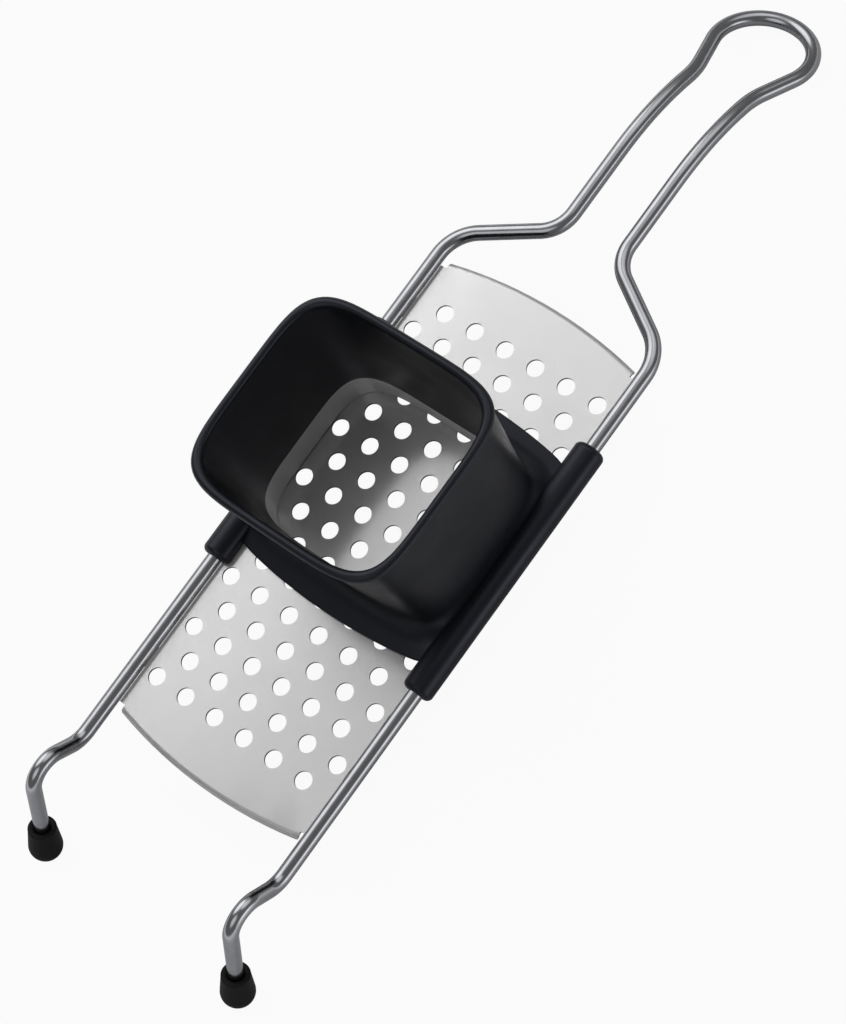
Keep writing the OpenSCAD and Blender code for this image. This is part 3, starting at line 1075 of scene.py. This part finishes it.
@dataclass
class FootCap:
    """A rubber cap pushed onto the end of a leg."""

    side: Side
    material: bpy.types.Material
    foot_r: float = 6.6
    mouth_r: float = 5.5
    length: float = 11.3
    bore_r: float = 3.08
    bore_depth: float = 3.0
    leg_y: float = -145.783
    leg_z: float = 7.864
    leg_lean: float = 24.0
    sole_flat: float = 0.3
    bore_taper: float = 0.06
    mouth_chamfer: float = 0.12
    mouth_depth: float = 0.8
    lip_seat: float = 0.25
    lip_h: float = 0.6
    collar_step: float = 0.05
    collar_h: float = 1.2
    shoulder_inset: float = 0.15
    shoulder_drop: float = 1.6
    merge_mm: float = 0.001
    cut_mm: float = 0.0001
    lip_steps: int = 8
    nose_steps: int = 16
    sides: int = 64

    def build(self) -> list[bpy.types.Object]:
        """Spins the cap's profile about the leg and flattens its sole.

        Returns:
            The cap's one object.
        """
        mesh = bmesh.new()
        foot_z = self.foot_r - self.sole_flat - LAYOUT.stand_h
        run = (self.leg_z - foot_z) / math.cos(math.radians(self.leg_lean))
        lip_start = self.bore_r + self.mouth_chamfer
        lip_r = (self.mouth_r - lip_start) / 2
        profile = [
            (self.bore_r - self.bore_taper, self.bore_depth - self.length),
            (self.bore_r, self.mouth_depth - self.length),
            (lip_start, self.lip_seat - self.length),
        ]
        for k in range(1, self.lip_steps + 1):
            a = math.radians(180 - 180 * k / self.lip_steps)
            profile.append((lip_start + lip_r * (1 + math.cos(a)),
                            self.lip_seat - self.length - self.lip_h * math.sin(a)))
        profile += [
            (self.mouth_r + self.collar_step, self.collar_h - self.length),
            (self.foot_r - self.shoulder_inset, -self.shoulder_drop),
        ]
        for k in range(self.nose_steps + 1):
            a = math.radians(90 * k / self.nose_steps)
            profile.append((self.foot_r * math.cos(a), self.foot_r * math.sin(a)))
        verts = [mesh.verts.new((r, 0, z)) for r, z in profile]
        edges = [mesh.edges.new(pair) for pair in zip(verts, verts[1:])]
        bmesh.ops.spin(mesh, geom=verts + edges, cent=(0, 0, 0), axis=(0, 0, 1), dvec=(0, 0, 0),
                       angle=math.radians(360), steps=self.sides, use_merge=True,
                       use_normal_flip=False, use_duplicate=False)
        bmesh.ops.remove_doubles(mesh, verts=mesh.verts[:], dist=self.merge_mm)
        open_edges = [e for e in mesh.edges if len(e.link_faces) == 1]
        bmesh.ops.edgenet_fill(mesh, edges=open_edges)
        place = (Matrix.Translation((LAYOUT.rail_x, self.leg_y, self.leg_z))
                 @ Matrix.Rotation(math.radians(180 - self.leg_lean), 4, "X")
                 @ Matrix.Translation((0, 0, run)))
        bmesh.ops.transform(mesh, matrix=place, verts=mesh.verts[:])
        cut = bmesh.ops.bisect_plane(mesh, geom=mesh.verts[:] + mesh.edges[:] + mesh.faces[:],
                                     dist=self.cut_mm, plane_co=(0, 0, -LAYOUT.stand_h),
                                     plane_no=(0, 0, -1), clear_outer=True)["geom_cut"]
        bmesh.ops.edgenet_fill(mesh, edges=[g for g in cut if isinstance(g, bmesh.types.BMEdge)])
        if self.side is Side.LEFT:
            bmesh.ops.scale(mesh, vec=(-1, 1, 1), verts=mesh.verts[:])
        bmesh.ops.transform(mesh, matrix=LAYOUT.table, verts=mesh.verts[:])
        bmesh.ops.recalc_face_normals(mesh, faces=mesh.faces[:])
        side_name = self.side.name.lower()
        piece = smooth_piece(f"{side_name}_rubber_cap", mesh, self.material, sharp_degrees=50.0)
        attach(piece, Body.FRAME.value)
        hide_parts(f"{side_name}_foot_cap")
        return [piece]


# ---- the studio


@dataclass(frozen=True)
class Lobe:
    """One soft bright part of the studio's surroundings. It starts to glow where the cosine of
    the angle from its middle is start, and glows fully where that cosine is full."""

    towards: tuple[float, float, float]
    start: float
    full: float
    strength: float


@dataclass
class Studio:
    """A pale floor, a soft surround and the photograph's camera."""

    camera_mm: tuple[float, float, float] = (467.7, -160.6, 998.3)
    aim_mm: tuple[float, float, float] = (8.4, -29.0, 31.5)
    roll_degrees: float = -39.53
    focal_px: float = 2947.0
    sensor_mm: float = 36.0
    ambient: float = 0.20
    backdrop_white: float = 0.955
    floor_colour: str = "#cfcfd1"
    floor_half_m: float = 6.0
    floor_white: float = 0.94
    mirror_near_m: float = 0.10
    mirror_far_m: float = 0.28
    mirror_squash: float = 0.55
    lobes: tuple[Lobe, ...] = (
        Lobe((-0.72, 0.21, 0.66), 0.885, 0.945, 1.35),
        Lobe((-0.47, 0.40, 0.79), 0.78, 1.00, 0.58),
        Lobe((0.985, 0.06, -0.16), 0.78, 0.99, 1.95),
        Lobe((0.10, 0.55, 0.83), 0.90, 0.97, 0.85),
        Lobe((0.08, -0.55, 0.83), 0.90, 0.97, 0.85),
    )

    def _world(self) -> None:
        """Lights the scene with a soft surround that the camera itself sees as white."""
        world = bpy.data.worlds.new("soft_surround")
        world.use_nodes = True
        tree = world.node_tree
        tree.nodes.clear()
        direction = add(tree, "ShaderNodeTexCoord").outputs["Generated"]
        total = None
        for lobe in self.lobes:
            dot = add(tree, "ShaderNodeVectorMath",
                      {0: direction, 1: Vector(lobe.towards).normalized()},
                      operation="DOT_PRODUCT").outputs["Value"]
            glow = add(tree, "ShaderNodeMapRange", {
                "Value": dot, "From Min": lobe.start, "From Max": lobe.full,
                "To Min": 0.0, "To Max": lobe.strength,
            }, interpolation_type="SMOOTHSTEP").outputs["Result"]
            total = glow if total is None else add(
                tree, "ShaderNodeMath", {0: total, 1: glow}, operation="ADD").outputs[0]
        lit = add(tree, "ShaderNodeMath", {0: total, 1: self.ambient}, operation="ADD")
        surround = add(tree, "ShaderNodeBackground",
                       {"Color": (1, 1, 1, 1), "Strength": lit.outputs[0]})
        backdrop = add(tree, "ShaderNodeBackground",
                       {"Color": (1, 1, 1, 1), "Strength": self.backdrop_white})
        path = add(tree, "ShaderNodeLightPath")
        seen = add(tree, "ShaderNodeMixShader", {
            0: path.outputs["Is Camera Ray"], 1: surround.outputs[0], 2: backdrop.outputs[0]})
        add(tree, "ShaderNodeOutputWorld", {"Surface": seen.outputs[0]})
        bpy.context.scene.world = world

    def _floor(self) -> None:
        """Lays the pale floor. Glossy rays see it white only away from the part, so that near the
        part its reflection is painted shade.
        """
        mesh = bmesh.new()
        bmesh.ops.create_grid(mesh, x_segments=1, y_segments=1, size=self.floor_half_m)
        material, tree = new_material("pale_floor")
        path = add(tree, "ShaderNodeLightPath")
        diffuse = add(tree, "ShaderNodeBsdfDiffuse", {"Color": linear(self.floor_colour)})
        white = add(tree, "ShaderNodeEmission", {"Color": (1, 1, 1, 1), "Strength": 1.0})
        place = add(tree, "ShaderNodeTexCoord").outputs["Object"]
        shortened = add(tree, "ShaderNodeVectorMath",
                        {0: place, 1: (1.0, self.mirror_squash, 1.0)}, operation="MULTIPLY")
        away = add(tree, "ShaderNodeVectorMath", {0: shortened.outputs[0]},
                   operation="LENGTH").outputs["Value"]
        whiten = add(tree, "ShaderNodeMapRange", {
            "Value": away, "From Min": self.mirror_near_m, "From Max": self.mirror_far_m,
            "To Min": 0.0, "To Max": 1.0,
        }, interpolation_type="SMOOTHSTEP")
        # Painted shade: near the part, glossy rays see only the floor's diffuse, not its white
        # glow.
        mirrored = add(tree, "ShaderNodeMath", {
            0: path.outputs["Is Glossy Ray"], 1: whiten.outputs["Result"],
        }, operation="MULTIPLY")
        direct = add(tree, "ShaderNodeMath", {
            0: path.outputs["Is Camera Ray"], 1: path.outputs["Is Transmission Ray"],
        }, operation="MAXIMUM")
        sight = add(tree, "ShaderNodeMath", {0: direct.outputs[0], 1: mirrored.outputs[0]},
                    operation="MAXIMUM")
        weight = add(tree, "ShaderNodeMath", {0: sight.outputs[0], 1: self.floor_white},
                     operation="MULTIPLY")
        mix = add(tree, "ShaderNodeMixShader",
                  {0: weight.outputs[0], 1: diffuse.outputs[0], 2: white.outputs[0]})
        add(tree, "ShaderNodeOutputMaterial", {"Surface": mix.outputs[0]})
        floor = smooth_piece("floor", mesh, material)

    def _camera(self) -> None:
        """Stands the camera where the photograph was taken."""
        data = bpy.data.cameras.new("camera")
        data.sensor_fit = "HORIZONTAL"
        data.sensor_width = self.sensor_mm
        data.lens = self.focal_px / IMAGE_WIDTH * self.sensor_mm
        data.clip_start = 0.01
        camera = bpy.data.objects.new("camera", data)
        eye, aim = Vector(self.camera_mm) * MM, Vector(self.aim_mm) * MM
        level = (aim - eye).to_track_quat("-Z", "Y")
        roll = Quaternion((0, 0, 1), math.radians(self.roll_degrees))
        camera.matrix_world = Matrix.Translation(eye) @ (level @ roll).to_matrix().to_4x4()
        bpy.context.scene.collection.objects.link(camera)
        bpy.context.scene.camera = camera

    def build(self) -> None:
        """Sets up the camera, the floor and the light."""
        self._camera()
        self._floor()
        self._world()
        bpy.context.scene.view_settings.view_transform = "Standard"


def main() -> None:
    """Builds every sub-assembly in order."""
    Studio().build()
    rubber = CapRubber().build()
    assemblies = [
        WireFrame(),
        PerforatedSheet(),
        Hopper(),
        FootCap(Side.LEFT, rubber),
        FootCap(Side.RIGHT, rubber),
    ]
    for assembly in assemblies:
        for piece in assembly.build():
            LOG.info("%s: %d faces", piece.name, len(piece.data.polygons))


if __name__ == "__main__":
    main()
